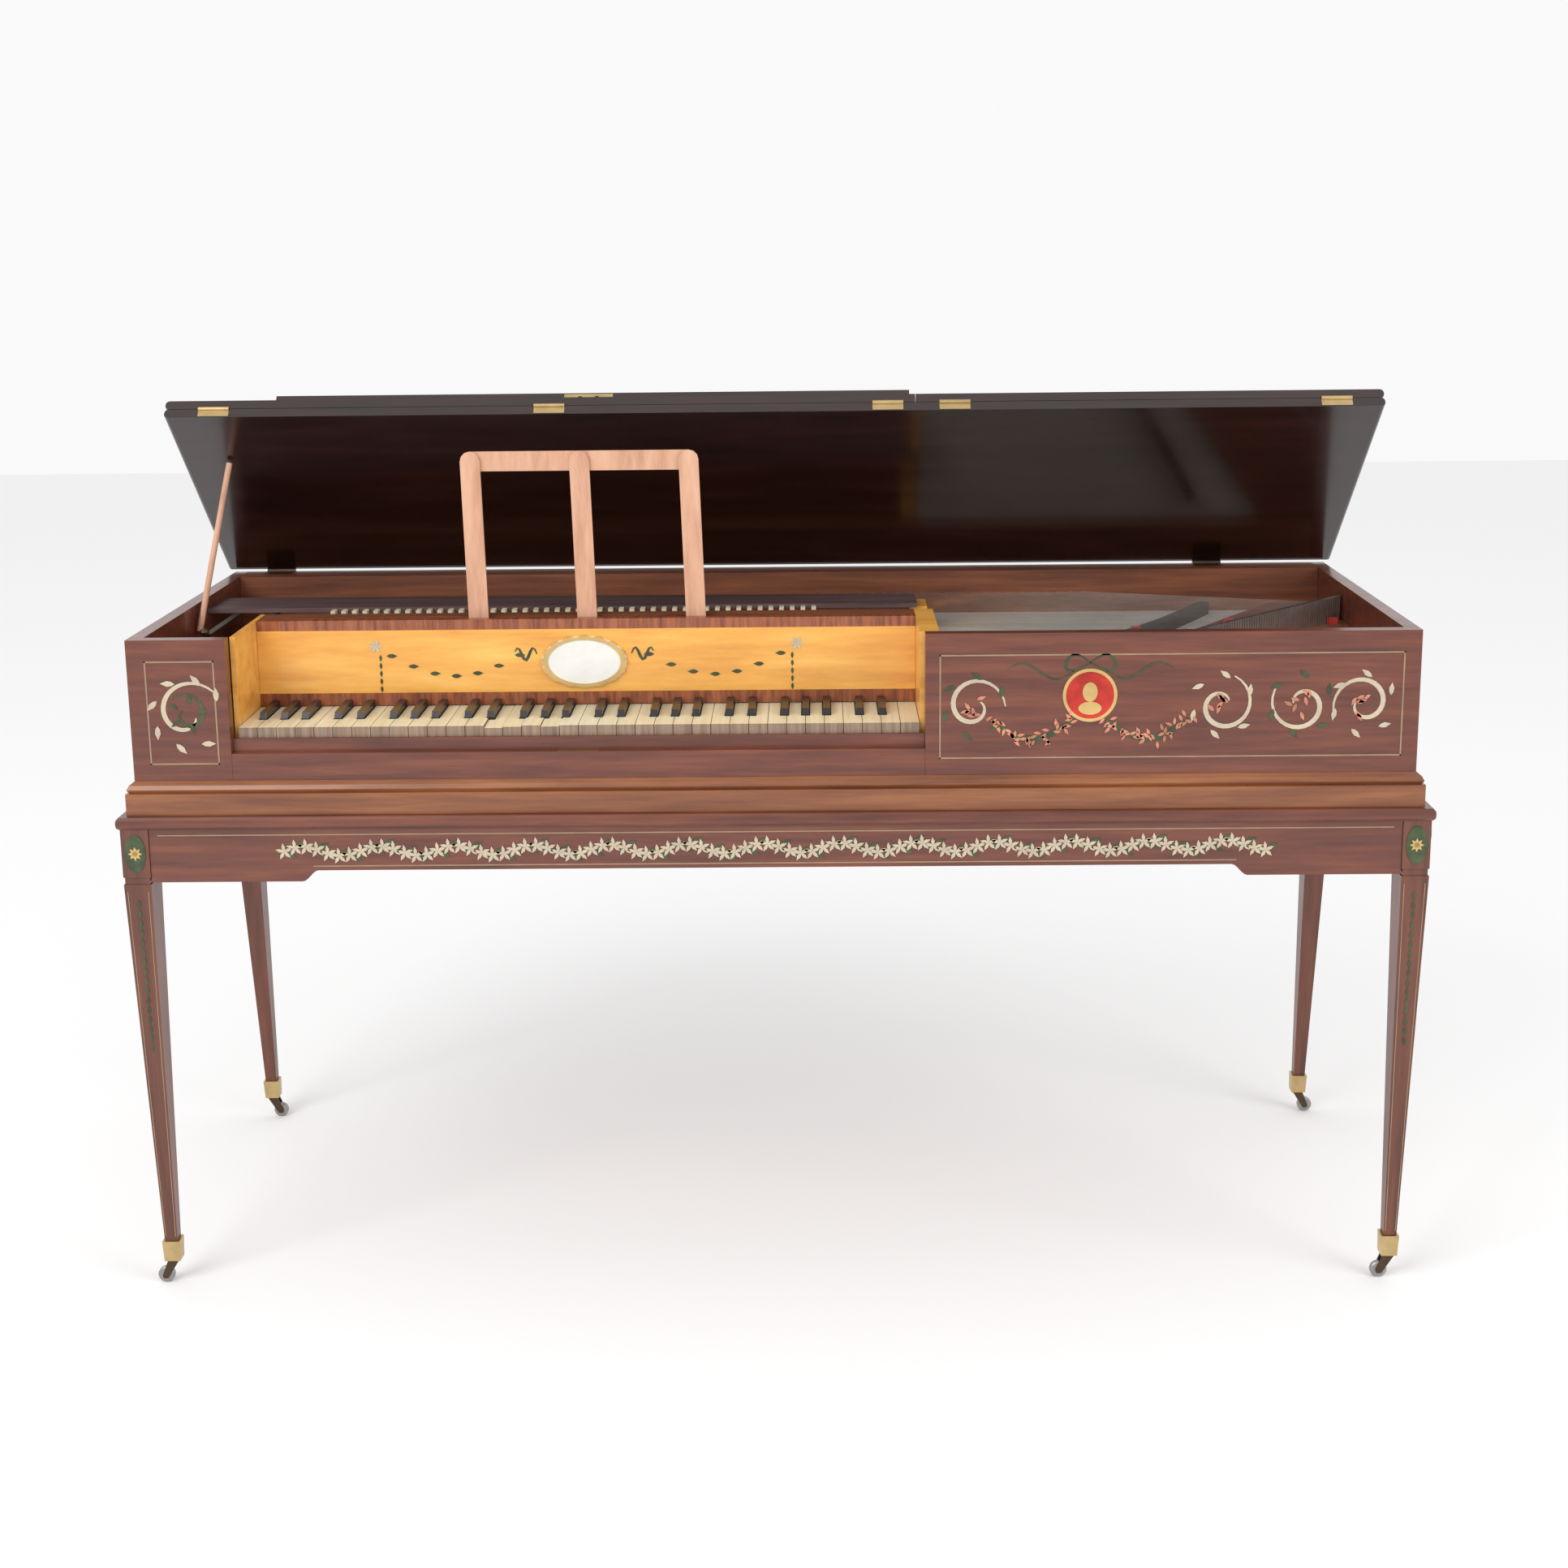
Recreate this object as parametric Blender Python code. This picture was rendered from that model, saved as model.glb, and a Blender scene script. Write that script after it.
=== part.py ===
"""Square piano on a four-legged stand, lid propped open with its flaps and lock board folded back.

Metres, +Z up. x = 0 is the middle of the case, y = 0 the middle of its depth, z = 0 the floor.
"""

import math

import bmesh
import bpy
from mathutils import Matrix, Vector

for old in list(bpy.data.objects):
    bpy.data.objects.remove(old)

# Clearance between touching pieces
gap = 0.0003

# Case
case_top = 0.835
case_width = 1.565
case_depth = 0.528
case_height = 0.175
front_y = -0.2585
wall = 0.018
spine = 0.050
opening_left = -0.6614
opening_right = 0.1861
slab_height = 0.042
slab_overhang = 0.010
low_rail_height = 0.033
low_rail_depth = 0.024
slip_front = 0.0106
slip_thickness = 0.004
slip_height = 0.0165

# Keyboard
key_left = opening_left + 0.006 + gap
key_pitch = 0.02319
natural_count = 36
key_side_gap = 0.0007
key_front = 0.0156
key_top = 0.1127
key_thickness = 0.014
key_back = 0.300
head_length = 0.042
sharp_width = 0.0100
sharp_rise = 0.009
sharp_length = 0.072
balance_y = 0.190
tail_overrun = 0.014
sunk_keys = {"sunk_key_low": (13, 0.9), "sunk_key_middle": (14, 0.5), "sunk_key_high": (16, 0.5)}
sharp_steps = {1: -0.003, 2: 0.0, 3: 0.003, 5: -0.0025, 6: 0.0025}

# Nameboard, ledge and cheeks
nameboard_y = 0.131
nameboard_thickness = 0.006
nameboard_drop = 0.0015
nameboard_foot = 0.1115
cap_depth = 0.0128
cap_thickness = 0.005
ledge_y = 0.1562
ledge_depth = 0.025
ledge_board = 0.006
ledge_foot = 0.100
cheek_thickness = 0.006
plaque_x = -0.2398
plaque_drop = 0.0565
plaque_half = (0.054, 0.033)
plaque_thickness = 0.002

# Inside the case
belly_thickness = 0.024
soundboard_drop = 0.060
soundboard_thickness = 0.004
bridge_height = 0.018
bridge_width = 0.014
plank_drop = 0.048
plank_thickness = 0.040
plank_front_x = 0.480
plank_back_x = 0.700
plank_bend_y = 0.160
dust_drop = 0.015
dust_thickness = 0.006
dust_front = 0.304
dust_depth = 0.086

# Hand stops
stop_thickness = 0.004
stop_width = 0.009
stop_knob = 0.006

# Lid, flaps and lock board
lid_half = 0.793
lid_thickness = 0.013
lid_round = 0.005
lid_joint = 0.165
flap_overhang = 0.009
flap_split = 0.186
lid_open = 42.0
lid_barrel = 0.004
flap_barrel = 0.0026
lock_left = -0.653
lock_right = 0.179
lock_thickness = 0.0145
lock_front = -0.0045
lock_height = 0.1405
lock_plate = (0.064, 0.0115, 0.002)
lock_x = -0.2416
hinge_length = 0.040
leaf_thickness = 0.0012
leaf_height = 0.009
lid_hinge_places = {"left_lid_hinge": -0.717, "right_lid_hinge": 0.616}
flap_hinge_places = {
    "flap_hinge_far_left": -0.729,
    "flap_hinge_middle": -0.2906,
    "flap_hinge_inner": 0.150,
    "flap_hinge_right_inner": 0.237,
    "flap_hinge_far_right": 0.731,
}

# Prop
prop_radius = 0.004
prop_reach = 0.2708
prop_top_x = -0.729
prop_foot = (-0.757, 0.235, -0.033)
rest_width = 0.012

# Music desk
desk_pivot_drop = 0.068
desk_pivot_left = -0.3722
desk_pitch = 0.1383
desk_bar = 0.025
desk_thickness = 0.0045
desk_length = 0.2644
desk_front = 0.1462
desk_lean = 6.0
desk_sway = 2.0

# Stand
strip_height = 0.015
strip_half = 0.804
strip_front = -0.021
strip_width = 0.046
frieze_height = 0.068
frieze_thickness = 0.020
frieze_arch = 0.014
arch_start = 0.579
leg_inner = 0.766
leg_width = 0.034
leg_depth = 0.044
leg_front = -0.017
block_height = 0.061
groove_height = 0.009
groove_depth = 0.0015
leg_foot = 0.796
leg_foot_size = (0.0154, 0.0144)
ferrule_top = 0.776
ferrule_bottom = 0.803
ferrule_wall = 0.002
ferrule_flare = 0.0006

# Castors
wheel_radius = 0.0105
wheel_width = 0.008
wheel_bore = 0.0021
axle_radius = 0.0018
castor_trail = 0.011
stem_radius = 0.0030
stem_length = 0.0055
plate_radius = 0.0078
plate_thickness = 0.0025
arm_thickness = 0.002


def principled(name, colour, roughness, metallic=0.0):
    """A material with one Principled shader."""
    made = bpy.data.materials.new(name)
    made.use_nodes = True
    shader = made.node_tree.nodes["Principled BSDF"]
    shader.inputs["Base Color"].default_value = (*colour, 1.0)
    shader.inputs["Roughness"].default_value = roughness
    shader.inputs["Metallic"].default_value = metallic
    made.diffuse_color = (*colour, 1.0)
    return made


mahogany = principled("mahogany", (0.22, 0.065, 0.03), 0.3)
dark_mahogany = principled("dark_mahogany", (0.05, 0.015, 0.012), 0.15)
satinwood = principled("satinwood", (0.80, 0.42, 0.10), 0.35)
pale_wood = principled("pale_wood", (0.62, 0.52, 0.38), 0.6)
desk_wood = principled("desk_wood", (0.60, 0.33, 0.20), 0.5)
dark_board = principled("dark_board", (0.10, 0.06, 0.055), 0.6)
ivory = principled("ivory", (0.80, 0.74, 0.58), 0.3)
ebony = principled("ebony", (0.02, 0.018, 0.016), 0.25)
brass = principled("brass", (0.60, 0.42, 0.16), 0.35, 1.0)
dark_iron = principled("dark_iron", (0.08, 0.07, 0.06), 0.5, 1.0)
enamel = principled("enamel", (0.85, 0.82, 0.74), 0.35)


def depth(y):
    """World y of a place that is y behind the case's front face."""
    return front_y + y


def height(drop):
    """World z of a place that is drop below the case's top."""
    return case_top - drop


def add_object(name, mesh_data, material, origin=(0, 0, 0), pose=None):
    """An object whose vertices were written in world places, with its origin moved to the joint."""
    mesh = bpy.data.meshes.new(name)
    shift = Vector(origin)
    bmesh.ops.translate(mesh_data, verts=mesh_data.verts, vec=-shift)
    bmesh.ops.recalc_face_normals(mesh_data, faces=mesh_data.faces)
    mesh_data.to_mesh(mesh)
    mesh_data.free()
    made = bpy.data.objects.new(name, mesh)
    mesh.materials.append(material)
    bpy.context.collection.objects.link(made)
    made.matrix_world = (pose or Matrix.Identity(4)) @ Matrix.Translation(shift)
    return made


def rings_mesh(rings):
    """A closed body through rectangles, each (z, low x, high x, low y, high y)."""
    mesh = bmesh.new()
    loops = []
    for z, x0, x1, y0, y1 in rings:
        corners = ((x0, y0), (x1, y0), (x1, y1), (x0, y1))
        loops.append([mesh.verts.new((x, y, z)) for x, y in corners])
    for low, high in zip(loops, loops[1:]):
        for i in range(4):
            mesh.faces.new((low[i], low[(i + 1) % 4], high[(i + 1) % 4], high[i]))
    mesh.faces.new(list(reversed(loops[0])))
    mesh.faces.new(loops[-1])
    return mesh


def box_mesh(low, high):
    """A box between two corners."""
    return rings_mesh([(low[2], low[0], high[0], low[1], high[1]), (high[2], low[0], high[0], low[1], high[1])])


def prism_into(mesh, outline, axis, low, high):
    """Adds a prism: the outline's two numbers are the other two axes, in x, y, z order."""
    ends = []
    for level in (low, high):
        ring = []
        for a, b in outline:
            place = {"x": (level, a, b), "y": (a, level, b), "z": (a, b, level)}[axis]
            ring.append(mesh.verts.new(place))
        ends.append(ring)
    count = len(outline)
    for i in range(count):
        j = (i + 1) % count
        mesh.faces.new((ends[0][i], ends[0][j], ends[1][j], ends[1][i]))
    mesh.faces.new(list(reversed(ends[0])))
    mesh.faces.new(ends[1])


def prism_mesh(outline, axis, low, high):
    """One prism as a mesh of its own."""
    mesh = bmesh.new()
    prism_into(mesh, outline, axis, low, high)
    return mesh


def lathe_mesh(profile, segments, closed=False):
    """Turns (radius, height) points about +Z; a closed profile makes a ring."""
    mesh = bmesh.new()
    turns = []
    for r, z in profile:
        if r < 1e-7:
            turns.append([mesh.verts.new((0, 0, z))] * segments)
            continue
        angles = [2 * math.pi * k / segments for k in range(segments)]
        turns.append([mesh.verts.new((r * math.cos(a), r * math.sin(a), z)) for a in angles])
    pairs = list(zip(turns, turns[1:]))
    if closed:
        pairs.append((turns[-1], turns[0]))
    for one, two in pairs:
        for k in range(segments):
            n = (k + 1) % segments
            corners = []
            for vertex in (one[k], one[n], two[n], two[k]):
                if vertex not in corners:
                    corners.append(vertex)
            mesh.faces.new(corners)
    return mesh


def rod_mesh(radius, length, segments=20):
    """A cylinder about +Z, centred on the origin."""
    half = length / 2
    return lathe_mesh([(0, -half), (radius, -half), (radius, half), (0, half)], segments)


def moved(mesh, matrix):
    """The mesh after a move."""
    bmesh.ops.transform(mesh, matrix=matrix, verts=mesh.verts)
    return mesh


def along_x(mesh, place):
    """Turns a mesh about +Z into one about +X, at a place."""
    return moved(mesh, Matrix.Translation(place) @ Matrix.Rotation(math.radians(90), 4, "Y"))


def along_y(mesh, place):
    """Turns a mesh about +Z into one about +Y, at a place."""
    return moved(mesh, Matrix.Translation(place) @ Matrix.Rotation(math.radians(-90), 4, "X"))


def combine(target, other_mesh, operation):
    """Cuts or joins a mesh written in the same places as the target was."""
    name = f"{target.name}_{operation.lower()}_{len(target.modifiers)}"
    tool = add_object(name, other_mesh, dark_iron)
    tool.matrix_world = poses.get(target.name, Matrix.Identity(4))
    tool.hide_render = True
    tool.display_type = "WIRE"
    step = target.modifiers.new(name, "BOOLEAN")
    step.operation = operation
    step.object = tool


poses = {}


def posed(name, mesh, material, origin, pose):
    """An object of a moving group, and the pose that its cutters share."""
    made = add_object(name, mesh, material, origin, pose)
    poses[made.name] = pose
    return made


def turn(place, degrees, axis="X"):
    """A rotation about an axis through a place."""
    spin = Matrix.Rotation(math.radians(degrees), 4, axis)
    return Matrix.Translation(place) @ spin @ Matrix.Translation(-Vector(place))


def smooth(target):
    """Shades a round piece smooth."""
    for face in target.data.polygons:
        face.use_smooth = True


half_width = case_width / 2
inner_half = half_width - wall
back_y = depth(case_depth)
inner_back = case_depth - spine


def build_case():
    floor = height(case_height)
    out = slab_overhang
    rings = []
    under = floor - slab_height
    steps = ((0.0, out), (0.027, out), (0.0275, out - 0.004), (0.032, out - 0.0015), (0.037, out - 0.004), (0.0417, 0.0))
    for rise, reach in steps:
        rings.append((under + rise, -half_width - reach, half_width + reach, front_y - reach, back_y))
    add_object("case_bottom", rings_mesh(rings), mahogany)
    base = floor
    for name, side in (("left_side", -1), ("right_side", 1)):
        xs = sorted((side * half_width, side * inner_half))
        board = add_object(name, box_mesh((xs[0], depth(wall + gap), base), (xs[1], back_y, case_top)), mahogany)
        if side < 0:
            foot_y = prop_foot[1]
            low = (-inner_half - 0.002, depth(foot_y - 0.006), height(0.060))
            high = (-inner_half + rest_width, depth(foot_y + 0.010), height(-prop_foot[2] + prop_radius + 0.0009))
            combine(board, box_mesh(low, high), "UNION")
    back = box_mesh((-inner_half + gap, depth(inner_back), base), (inner_half - gap, back_y, case_top))
    back_board = add_object("case_back", back, mahogany)
    for x in lid_hinge_places.values():
        half = hinge_length / 2 + gap
        combine(back_board, box_mesh((x - half, depth(case_depth - 0.026), height(leaf_thickness + 2 * gap)), (x + half, back_y + 0.01, case_top + 0.01)), "DIFFERENCE")
    panel = (depth(0), depth(wall))
    add_object("left_front_panel", box_mesh((-half_width, panel[0], base), (opening_left, panel[1], case_top)), mahogany)
    add_object("right_front_panel", box_mesh((opening_right, panel[0], base), (half_width, panel[1], case_top)), mahogany)
    low_top = base + low_rail_height
    outline = (
        (depth(0), base), (depth(low_rail_depth), base), (depth(low_rail_depth), low_top),
        (depth(slip_front + slip_thickness), low_top), (depth(slip_front + slip_thickness), low_top + slip_height),
        (depth(slip_front), low_top + slip_height), (depth(slip_front), low_top), (depth(0), low_top),
    )
    add_object("low_front_rail", prism_mesh(outline, "x", opening_left + gap, opening_right - gap), mahogany)


def build_keywell():
    left = opening_left + cheek_thickness
    right = opening_right - cheek_thickness
    base = height(case_height)
    top = height(nameboard_drop)
    cheek_front = depth(low_rail_depth + gap)
    cheek = ((cheek_front, base), (depth(ledge_y + ledge_depth), base), (depth(ledge_y + ledge_depth), top), (cheek_front, top))
    add_object("left_cheek", prism_mesh(cheek, "x", opening_left, left), satinwood)
    board_top = height(soundboard_drop + soundboard_thickness) - gap
    dust_under = height(dust_drop + dust_thickness) - gap
    rail = (
        (cheek_front, base), (depth(inner_back) - gap, base), (depth(inner_back) - gap, board_top),
        (depth(dust_front + 0.066), board_top), (depth(dust_front + 0.066), dust_under),
        (depth(dust_front + 0.010), dust_under), (depth(dust_front + 0.010), board_top),
        (depth(ledge_y + ledge_depth), board_top), (depth(ledge_y + ledge_depth), top), (cheek_front, top),
    )
    add_object("belly_rail", prism_mesh(rail, "x", right, right + belly_thickness), satinwood)
    board_left = left + gap
    board_right = right - gap
    y0 = depth(nameboard_y)
    y1 = depth(nameboard_y + nameboard_thickness)
    cap_back = depth(nameboard_y + cap_depth)
    cap_low = top - cap_thickness
    foot = height(nameboard_foot)
    name_outline = ((y0, foot), (y1, foot), (y1, cap_low), (cap_back, cap_low), (cap_back, top), (y0, top))
    add_object("nameboard", prism_mesh(name_outline, "x", board_left, board_right), satinwood)
    l0 = depth(ledge_y)
    l1 = depth(ledge_y + ledge_board)
    l2 = depth(ledge_y + ledge_depth) - gap
    low = height(ledge_foot)
    ledge_outline = ((l0, low), (l1, low), (l1, cap_low), (l2, cap_low), (l2, top), (l0, top))
    add_object("nameboard_ledge", prism_mesh(ledge_outline, "x", board_left, board_right), mahogany)
    oval = []
    steps = 40
    for k in range(steps):
        a = 2 * math.pi * k / steps
        oval.append((plaque_x + plaque_half[0] * math.cos(a), height(plaque_drop) + plaque_half[1] * math.sin(a)))
    add_object("name_plaque", prism_mesh(oval, "y", y0 - gap - plaque_thickness, y0 - gap), enamel)


def build_sounding_parts():
    right = opening_right - cheek_thickness
    front = depth(wall + 2 * gap)
    back = depth(inner_back) - gap
    z0 = height(soundboard_drop + soundboard_thickness)
    z1 = height(soundboard_drop)
    start = right + belly_thickness + gap
    bend = depth(plank_bend_y)
    under_dust = right + gap
    outline = (
        (under_dust, depth(ledge_y + ledge_depth) + gap), (start, depth(ledge_y + ledge_depth) + gap), (start, front),
        (plank_front_x - 2 * gap, front), (plank_front_x - 2 * gap, bend), (plank_back_x - 2 * gap, back),
        (start, back), (start, depth(dust_front) - gap), (under_dust, depth(dust_front) - gap),
    )
    board = add_object("soundboard", prism_mesh(outline, "z", z0, z1), pale_wood)
    inner = []
    outer = []
    steps = 12
    for k in range(steps + 1):
        t = k / steps
        x = 0.330 + 0.270 * t
        y = 0.120 + 0.330 * t - 0.050 * math.sin(math.pi * t)
        lean = math.atan2(0.330 - 0.050 * math.pi * math.cos(math.pi * t), 0.270)
        nx = -math.sin(lean) * bridge_width / 2
        ny = math.cos(lean) * bridge_width / 2
        inner.append((x + nx, depth(y) + ny))
        outer.append((x - nx, depth(y) - ny))
    combine(board, prism_mesh(inner + outer[::-1], "z", z1 - 0.001, z1 + bridge_height), "UNION")
    side = inner_half - gap
    plank = ((plank_front_x, front), (side, front), (side, back), (plank_back_x, back), (plank_front_x, bend))
    add_object("wrest_plank", prism_mesh(plank, "z", height(plank_drop + plank_thickness), height(plank_drop)), mahogany)
    dust = (
        (-inner_half + gap, depth(dust_front)), (right + 0.010, depth(dust_front)),
        (right + 0.010, depth(dust_front + dust_depth - 0.010)), (-inner_half + gap, depth(dust_front + dust_depth)),
    )
    add_object("dust_board", prism_mesh(dust, "z", height(dust_drop + dust_thickness), height(dust_drop)), dark_board)


def sharp_centres():
    """The x of each sharp, by the natural boundary that it stands over."""
    found = {}
    for boundary in range(1, natural_count):
        step = sharp_steps.get(boundary % 7)
        if step is not None:
            found[boundary] = key_left + boundary * key_pitch + step
    return found


def natural_outline(index, centres):
    """Outline of a natural seen from above: a wide head and a tail cut back for its sharps."""
    x0 = key_left + index * key_pitch + key_side_gap / 2
    x1 = x0 + key_pitch - key_side_gap
    cut = sharp_width / 2 + key_side_gap
    tail0 = max(x0, centres[index] + cut) if index in centres else x0
    tail1 = min(x1, centres[index + 1] - cut) if index + 1 in centres else x1
    y0 = depth(key_front)
    y1 = depth(key_front + head_length)
    y2 = depth(key_back)
    points = [(x0, y0), (x1, y0)]
    points += [(x1, y1), (tail1, y1)] if tail1 < x1 else []
    points += [(tail1, y2), (tail0, y2)]
    points += [(tail0, y1), (x0, y1)] if tail0 > x0 else []
    return points, (tail0, tail1)


def build_keys():
    centres = sharp_centres()
    top = height(key_top)
    low = top - key_thickness
    origin = (0, depth(balance_y), low)
    sunk = {index: (name, tilt) for name, (index, tilt) in sunk_keys.items()}
    group = bmesh.new()
    teeth = []
    comb_low = low - 0.0095
    comb_top = low - 0.0020
    for index in range(natural_count):
        outline, tail = natural_outline(index, centres)
        if index in sunk:
            name, tilt = sunk[index]
            one = prism_mesh(outline, "z", low, top)
            middle = (sum(tail) / 2, origin[1], origin[2])
            add_object(name, one, ivory, middle, turn(middle, tilt))
            continue
        prism_into(group, outline, "z", low, top)
        teeth += [(tail[0] + 0.0012, comb_top), (tail[0] + 0.0012, low + 0.003)]
        teeth += [(tail[1] - 0.0012, low + 0.003), (tail[1] - 0.0012, comb_top)]
    naturals = add_object("natural_keys", group, ivory, origin)
    comb = [(teeth[0][0] - 0.001, comb_low), (teeth[0][0] - 0.001, comb_top)] + teeth
    comb += [(teeth[-1][0] + 0.001, comb_top), (teeth[-1][0] + 0.001, comb_low)]
    combine(naturals, prism_mesh(comb, "y", depth(balance_y + 0.008), depth(balance_y + 0.016)), "UNION")
    front = depth(key_front + head_length) + key_side_gap
    batten0 = depth(key_back + 0.004)
    batten1 = depth(key_back + tail_overrun)
    lever_top = top - 0.001
    outline = []
    for x in centres.values():
        half = sharp_width / 2
        outline += [(x - half, batten0), (x - half, front), (x + half, front), (x + half, batten0)]
    outline += [(outline[-1][0], batten1), (outline[0][0], batten1)]
    sharps = add_object("sharp_keys", prism_mesh(outline, "z", low, lever_top), ebony, origin)
    caps = bmesh.new()
    for x in centres.values():
        y1 = front + sharp_length - key_side_gap
        side = ((front + 0.0004, lever_top - 0.002), (y1, lever_top - 0.002), (y1, top + sharp_rise), (front + 0.005, top + sharp_rise - 0.0008), (front + 0.0006, top + 0.001))
        prism_into(caps, side, "x", x - sharp_width / 2 + 0.0006, x + sharp_width / 2 - 0.0006)
    combine(sharps, caps, "UNION")
    frame_left = opening_left + cheek_thickness + gap
    frame_right = opening_right - cheek_thickness - gap
    base = height(case_height)
    seat = low - gap
    board = base + 0.012
    profile = (
        (depth(low_rail_depth) + gap, base), (depth(key_back + tail_overrun), base), (depth(key_back + tail_overrun), seat),
        (depth(key_back - 0.020), seat), (depth(key_back - 0.020), board), (depth(balance_y + 0.006), board),
        (depth(balance_y + 0.005), low - 0.013), (depth(balance_y + 0.0005), seat), (depth(balance_y - 0.0005), seat),
        (depth(balance_y - 0.006), low - 0.013), (depth(balance_y - 0.010), board),
        (depth(0.080), board), (depth(0.080), low - 0.011), (depth(low_rail_depth) + gap, low - 0.011),
    )
    add_object("key_frame", prism_mesh(profile, "x", frame_left, frame_right), pale_wood)


def build_stops():
    z1 = height(dust_drop + dust_thickness) - gap
    z0 = z1 - stop_thickness
    for name, x0, x1, y0, knob in (("front_stop", -0.724, -0.724, 0.154, True), ("rear_stop", -0.685, -0.674, 0.210, False)):
        y1 = dust_front + 0.014
        half = stop_width / 2
        outline = ((x0 - half, depth(y0)), (x0 + half, depth(y0)), (x1 + half, depth(y1)), (x1 - half, depth(y1)))
        lever = add_object(name, prism_mesh(outline, "z", z0, z1), brass, (x1, depth(y1 - half), z1))
        if knob:
            ball = lathe_mesh([(0, -stop_knob), (stop_knob * 0.8, -stop_knob * 0.6), (stop_knob, 0), (stop_knob * 0.8, stop_knob * 0.6), (0, stop_knob)], 16)
            place = (x0 - 0.003, depth(y0 - 0.003), z1 + 0.003)
            combine(lever, moved(ball, Matrix.Translation(place)), "UNION")


lid_axis = (0, back_y + lid_barrel + gap, case_top)
lid_pose = turn(lid_axis, -lid_open)
flap_axis = (0, depth(lid_joint), case_top + gap + lid_thickness + gap)
flap_pose = lid_pose @ turn(flap_axis, 180)
lock_axis = (0, depth(lock_front + lock_thickness) + 0.001, case_top - 0.001)
lock_pose = flap_pose @ turn(lock_axis, 90)


def lid_panel(name, x0, x1, y0, y1, origin, pose, rounded):
    """A lid board with some of its edges rounded."""
    low = case_top + gap
    high = low + lid_thickness
    mesh = box_mesh((x0, y0, low), (x1, y1, high))
    edges = []
    for edge in mesh.edges:
        a = edge.verts[0].co
        b = edge.verts[1].co
        if abs(a.z - b.z) > 1e-6:
            continue
        for axis, place in rounded:
            if abs(a[axis] - place) < 1e-6 and abs(b[axis] - place) < 1e-6:
                edges.append(edge)
    bmesh.ops.bevel(mesh, geom=edges, offset=lid_round, segments=3, profile=0.5, affect="EDGES")
    return posed(name, mesh, dark_mahogany, origin, pose)


def hinge_pocket(x):
    """Room for a flap hinge's barrel and its leaf."""
    half = hinge_length / 2 + gap
    reach = flap_barrel + 2 * gap
    y = flap_axis[1]
    z = flap_axis[2]
    return box_mesh((x - half, y - reach, z - reach), (x + half, y + reach, z + 0.01))


def build_lid():
    joint = depth(lid_joint)
    lid = lid_panel("lid", -lid_half, lid_half, joint + gap, back_y, lid_axis, lid_pose, ((0, -lid_half), (0, lid_half)))
    flap_front = depth(-flap_overhang)
    split = flap_split
    left_edges = ((0, -lid_half), (1, flap_front))
    right_edges = ((0, lid_half), (1, flap_front))
    left = lid_panel("left_flap", -lid_half, split - gap, flap_front, joint - gap, flap_axis, flap_pose, left_edges)
    right = lid_panel("right_flap", split + gap, lid_half, flap_front, joint - gap, flap_axis, flap_pose, right_edges)
    for x in flap_hinge_places.values():
        combine(lid, hinge_pocket(x), "DIFFERENCE")
        combine(left if x < split else right, hinge_pocket(x), "DIFFERENCE")
        half = hinge_length / 2 + gap
        low = (x - half, joint - 0.01, flap_axis[2] - flap_barrel - leaf_height - gap)
        high = (x + half, joint + gap + leaf_thickness + gap, flap_axis[2])
        combine(lid, box_mesh(low, high), "DIFFERENCE")
    for name, x in flap_hinge_places.items():
        place = (x, flap_axis[1], flap_axis[2])
        barrel = along_x(rod_mesh(flap_barrel, hinge_length, 16), place)
        hinge = posed(name, barrel, brass, place, lid_pose)
        half = hinge_length / 2
        low = (x - half, joint + gap, flap_axis[2] - flap_barrel - leaf_height)
        high = (x + half, joint + gap + leaf_thickness, flap_axis[2])
        combine(hinge, box_mesh(low, high), "UNION")
    for name, x in lid_hinge_places.items():
        place = (x, lid_axis[1], lid_axis[2])
        hinge = add_object(name, along_x(rod_mesh(lid_barrel, hinge_length, 20), place), dark_iron)
        half = hinge_length / 2
        low = (x - half, back_y - 0.024, case_top - gap - leaf_thickness)
        high = (x + half, lid_axis[1], case_top - gap)
        combine(hinge, box_mesh(low, high), "UNION")
    y0 = depth(lock_front)
    y1 = y0 + lock_thickness
    z1 = lock_axis[2] + 0.0001
    z0 = z1 - lock_height
    board = posed("lock_board", box_mesh((lock_left, y0, z0), (lock_right, y1, z1)), dark_mahogany, lock_axis, lock_pose)
    half = lock_plate[0] / 2
    inset = (lock_thickness - lock_plate[1]) / 2
    cut_low = (lock_x - half - gap, y0 + inset - gap, z0 - 0.01)
    cut_high = (lock_x + half + gap, y1 - inset + gap, z0 + lock_plate[2] + gap)
    combine(board, box_mesh(cut_low, cut_high), "DIFFERENCE")
    lock = posed("lock", box_mesh((lock_x - half, y0 + inset, z0), (lock_x + half, y1 - inset, z0 + lock_plate[2])), brass, lock_axis, lock_pose)
    for side in (-1, 1):
        slot = (lock_x + side * 0.011, (y0 + y1) / 2, z0)
        low = (slot[0] - 0.0025, slot[1] - 0.002, z0 - 0.001)
        high = (slot[0] + 0.0025, slot[1] + 0.002, z0 + 0.004)
        combine(lock, box_mesh(low, high), "DIFFERENCE")


def build_prop():
    pivot = Vector((prop_top_x, lid_axis[1] - prop_reach, case_top - prop_radius - gap))
    rest_pivot = lid_pose @ pivot
    foot = Vector((prop_foot[0], depth(prop_foot[1]), case_top + prop_foot[2]))
    arm = foot - rest_pivot
    length = arm.length
    stick = rod_mesh(prop_radius, length, 16)
    moved(stick, Matrix.Translation((0, 0, length / 2)))
    aim = arm.to_track_quat("Z", "Y").to_matrix().to_4x4()
    made = add_object("prop", moved(stick, Matrix.Translation(rest_pivot) @ aim), desk_wood, rest_pivot)
    smooth(made)


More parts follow.
